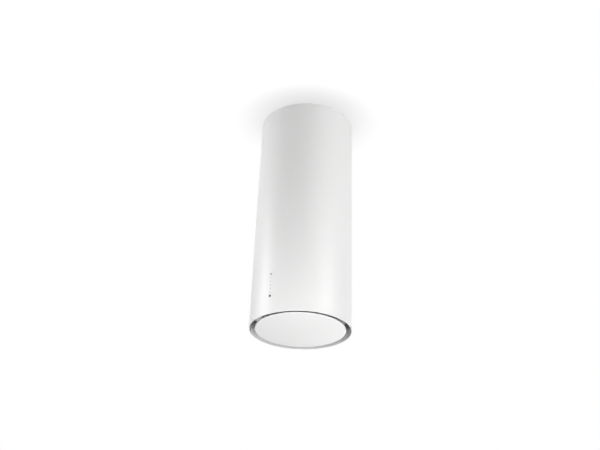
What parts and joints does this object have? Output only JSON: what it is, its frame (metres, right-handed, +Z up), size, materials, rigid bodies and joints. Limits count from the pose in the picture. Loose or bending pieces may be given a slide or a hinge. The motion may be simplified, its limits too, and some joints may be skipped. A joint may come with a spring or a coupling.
{
  "type": "island range hood",
  "caption": "White cylindrical kitchen hood that hangs from the ceiling and draws air in round a flush drop-down bottom panel, with a column of push keys.",
  "frame": {"origin": "centre of the ceiling plate's top face, where the hood meets the ceiling", "axes": "+Z up along the cylinder's axis, -Y out of the front with the keys, +X to the right of someone in front of it"},
  "size_m": [0.3499, 0.3507, 0.84],
  "materials": {
    "white_paint": "satin white powder coat",
    "galvanised_sheet": "galvanised sheet with a faint spangle",
    "steel_fittings": "bright zinc on steel",
    "motor_steel": "rolled steel and stacked core plates",
    "filter_aluminium": "brushed and anodised",
    "dark_aluminium": "black anodised",
    "smoked_plastic": "smoked and frosted",
    "black_plastic": "fine moulded grain",
    "grey_plastic": "fine moulded grain",
    "board_green": "coated circuit board",
    "magnet_grey": "sintered magnet",
    "dark_key": "smooth dark key",
    "pale_key": "smooth pale key"
  },
  "bodies": {
    "hood": {"outer_shell": "white_paint", "ceiling_plate": "galvanised_sheet", "blower_can": "galvanised_sheet", "can_lid": "galvanised_sheet", "filter_deck": "galvanised_sheet", "shell_brackets": "galvanised_sheet", "scroll_wrap": "galvanised_sheet", "scroll_side_left": "galvanised_sheet", "scroll_side_right": "galvanised_sheet", "motor_bracket": "galvanised_sheet", "frame_rail_front_left": "galvanised_sheet", "frame_rail_front_right": "galvanised_sheet", "frame_rail_rear_left": "galvanised_sheet", "frame_rail_rear_right": "galvanised_sheet", "frame_screws": "steel_fittings", "lid_screws": "steel_fittings", "deck_screws": "steel_fittings", "motor_screws": "steel_fittings", "keypad_nuts": "steel_fittings", "hinge_arms": "steel_fittings", "catch_brackets": "steel_fittings", "damper_pin": "steel_fittings", "motor_bearings": "steel_fittings", "motor_case": "motor_steel", "motor_end_cap": "motor_steel", "stator_core": "motor_steel", "filter_frame": "filter_aluminium", "filter_mesh": "filter_aluminium", "led_channel": "dark_aluminium", "led_diffuser": "smoked_plastic", "outlet_collar": "black_plastic", "keypad_housing": "black_plastic", "mains_gland": "black_plastic", "keypad_switches": "black_plastic", "led_driver": "black_plastic", "control_box": "grey_plastic", "control_box_lid": "grey_plastic", "control_board": "board_green", "keypad_board": "board_green", "led_strip": "board_green", "catch_magnets": "magnet_grey"},
    "panel": {"panel_face": "white_paint", "panel_pan": "galvanised_sheet", "panel_screw": "steel_fittings", "hinge_brackets": "steel_fittings", "hinge_pins": "steel_fittings", "strike_plates": "steel_fittings"},
    "fan": {"impeller": "grey_plastic", "motor_shaft": "steel_fittings", "rotor_core": "motor_steel"},
    "damper_rear": {"damper_flap_rear": "black_plastic"},
    "damper_front": {"damper_flap_front": "black_plastic"},
    "latch": {"filter_latch": "grey_plastic"},
    "power_key_cap": {"power_key": "dark_key"},
    "speed_one_key_cap": {"speed_one_key": "pale_key"},
    "speed_two_key_cap": {"speed_two_key": "pale_key"},
    "speed_three_key_cap": {"speed_three_key": "pale_key"},
    "speed_four_key_cap": {"speed_four_key": "pale_key"},
    "timer_key_cap": {"timer_key": "pale_key"},
    "light_key_cap": {"light_key": "dark_key"}
  },
  "joints": [
    {"name": "panel_swing", "type": "hinge", "parent": "hood", "child": "panel", "pos_m": [0, 0.1375, -0.831], "axis": [1, 0, 0], "range_deg": [0, 90]},
    {"name": "fan_spin", "type": "hinge", "parent": "hood", "child": "fan", "pos_m": [0, -0.04916, -0.637], "axis": [1, 0, 0], "continuous": true},
    {"name": "rear_flap_swing", "type": "hinge", "parent": "hood", "child": "damper_rear", "pos_m": [0, 0, -0.478], "axis": [1, 0, 0], "range_deg": [0, 80]},
    {"name": "front_flap_swing", "type": "hinge", "parent": "hood", "child": "damper_front", "pos_m": [0, 0, -0.478], "axis": [-1, 0, 0], "range_deg": [0, 80]},
    {"name": "latch_slide", "type": "slide", "parent": "hood", "child": "latch", "axis": [0, 1, 0], "range_m": [0, 0.007], "stiffness_N_per_m": 300},
    {"name": "power_key_press", "type": "slide", "parent": "hood", "child": "power_key_cap", "axis": [0, 1, 0], "range_m": [0, 0.0008], "stiffness_N_per_m": 800},
    {"name": "speed_one_key_press", "type": "slide", "parent": "hood", "child": "speed_one_key_cap", "axis": [0, 1, 0], "range_m": [0, 0.0008], "stiffness_N_per_m": 800},
    {"name": "speed_two_key_press", "type": "slide", "parent": "hood", "child": "speed_two_key_cap", "axis": [0, 1, 0], "range_m": [0, 0.0008], "stiffness_N_per_m": 800},
    {"name": "speed_three_key_press", "type": "slide", "parent": "hood", "child": "speed_three_key_cap", "axis": [0, 1, 0], "range_m": [0, 0.0008], "stiffness_N_per_m": 800},
    {"name": "speed_four_key_press", "type": "slide", "parent": "hood", "child": "speed_four_key_cap", "axis": [0, 1, 0], "range_m": [0, 0.0008], "stiffness_N_per_m": 800},
    {"name": "timer_key_press", "type": "slide", "parent": "hood", "child": "timer_key_cap", "axis": [0, 1, 0], "range_m": [0, 0.0008], "stiffness_N_per_m": 800},
    {"name": "light_key_press", "type": "slide", "parent": "hood", "child": "light_key_cap", "axis": [0, 1, 0], "range_m": [0, 0.0008], "stiffness_N_per_m": 800}
  ]
}
